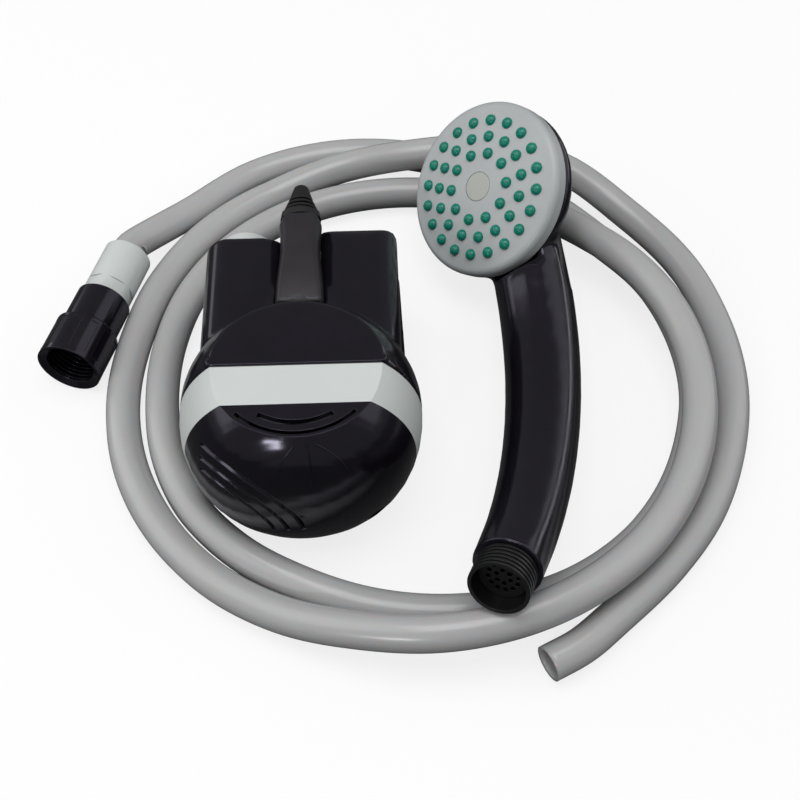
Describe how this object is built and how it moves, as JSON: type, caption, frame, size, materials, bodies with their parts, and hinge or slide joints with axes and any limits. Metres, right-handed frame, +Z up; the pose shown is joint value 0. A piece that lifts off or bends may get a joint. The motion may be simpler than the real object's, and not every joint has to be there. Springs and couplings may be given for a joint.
{
  "type": "camp shower pump",
  "caption": "Battery camp shower kit: round submersible pump with twin battery lobes and hose barb, coiled hose with screw coupling, and curved hand shower.",
  "frame": {"origin": "middle of the battery door on the pump's flat back, which lies on the floor", "axes": "+Z up out of the floor through the pump's flat front, +Y along the pump axis towards the hose barb, +X to the right"},
  "size_m": [0.2744, 0.2591, 0.0686],
  "materials": {
    "gloss_black": "glossy moulded ABS",
    "matte_black": "satin moulded nylon",
    "light_grey": "satin light grey ABS",
    "face_grey": "satin mid grey ABS",
    "teal_rubber": "soft teal silicone",
    "hose_vinyl": "smooth grey vinyl",
    "black_rubber": "black sealing rubber",
    "steel": "plated steel",
    "copper": "enamelled copper windings",
    "magnet": "grey ferrite",
    "white_nylon": "natural nylon",
    "dark_grey": "dark moulded plastic",
    "cell_wrap": "printed film over steel",
    "contact_brass": "plated brass"
  },
  "bodies": {
    "pump": {"upper_housing": "gloss_black", "housing_gasket": "black_rubber", "belt_ring": "light_grey", "intake_cover": "gloss_black", "cover_screws": "steel", "intake_filter": "steel", "pump_plate": "dark_grey", "volute": "dark_grey", "shaft_seal": "black_rubber", "motor_magnets": "magnet", "motor_can": "steel", "motor_end_bell": "white_nylon", "riser_tube": "dark_grey", "neck_washer": "black_rubber", "outlet_neck": "gloss_black", "hose_barb": "matte_black", "button_seal": "black_rubber", "power_switch": "dark_grey", "left_cell": "cell_wrap", "right_cell": "cell_wrap", "lower_contacts": "contact_brass", "upper_contacts": "contact_brass", "battery_door": "gloss_black", "door_gasket": "black_rubber", "door_screws": "steel", "hose": "hose_vinyl", "hose_tail": "light_grey", "tail_clip": "steel", "nut_washer": "black_rubber"},
    "rotor": {"impeller": "white_nylon", "motor_shaft": "steel", "motor_armature": "copper"},
    "button": {"power_button": "light_grey"},
    "coupling": {"coupling_nut": "gloss_black"},
    "hand_shower": {"shower_body": "gloss_black", "inlet_spigot": "matte_black", "inlet_filter": "matte_black", "water_plate": "white_nylon", "nub_mat": "teal_rubber", "face_plate": "face_grey", "face_seal": "black_rubber", "centre_cap": "face_grey"}
  },
  "joints": [
    {"name": "impeller_spin", "type": "hinge", "parent": "pump", "child": "rotor", "pos_m": [0, 0, 0.0316], "axis": [0, 1, 0], "continuous": true},
    {"name": "button_press", "type": "slide", "parent": "pump", "child": "button", "axis": [0, -1, 0], "range_m": [0, 0.0016], "stiffness_N_per_m": 400},
    {"name": "nut_spin", "type": "hinge", "parent": "pump", "child": "coupling", "pos_m": [-0.0914, 0.005, 0.0128], "axis": [0.2924, 0.9563, 0], "continuous": true},
    {"name": "shower_lift", "type": "slide", "parent": "pump", "child": "hand_shower", "axis": [0, 0, 1], "range_m": [0, 0.15]}
  ]
}
